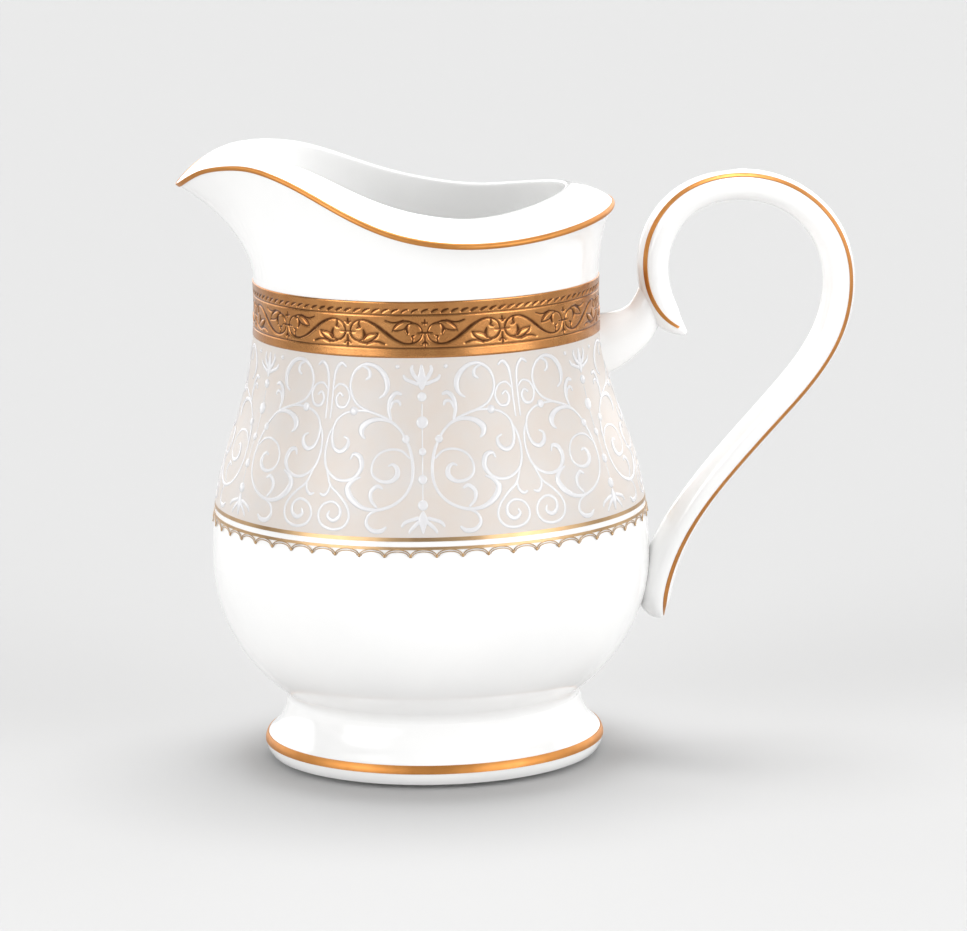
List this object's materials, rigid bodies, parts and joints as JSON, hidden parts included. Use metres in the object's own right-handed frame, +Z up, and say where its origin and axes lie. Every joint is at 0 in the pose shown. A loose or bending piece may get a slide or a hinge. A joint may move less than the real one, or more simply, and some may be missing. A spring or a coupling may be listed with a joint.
{
  "type": "cream jug",
  "caption": "Porcelain cream jug: round belly on a pedestal foot, wavy spouted lip, scrolled strap handle, gold lines, etched gold band and ivory scroll band.",
  "frame": {"origin": "centre of the foot ring on the table plane", "axes": "+Z up, +X from the jug's axis to the handle, spout towards -X, Y = 0 the plane of symmetry"},
  "size_m": [0.1264, 0.0824, 0.1153],
  "materials": {
    "porcelain": "clear glossy glaze over white porcelain",
    "ivory_enamel": "soft-gloss ivory ground under white raised enamel",
    "etched_gold": "burnished gold over an acid-etched relief",
    "bright_gold": "burnished fired gold",
    "taupe_gold": "matt fired gold print"
  },
  "bodies": {
    "root": {"jug_body": "porcelain", "foot": "porcelain", "handle": "porcelain", "etched_gold_band": "etched_gold", "ivory_ground": "ivory_enamel", "upper_gold_line": "bright_gold", "lower_gold_line": "taupe_gold", "scallop_border": "taupe_gold", "foot_gold_line": "bright_gold", "rim_gold_line": "bright_gold", "handle_gold_line_left": "bright_gold", "handle_gold_line_right": "bright_gold"}
  },
  "joints": []
}
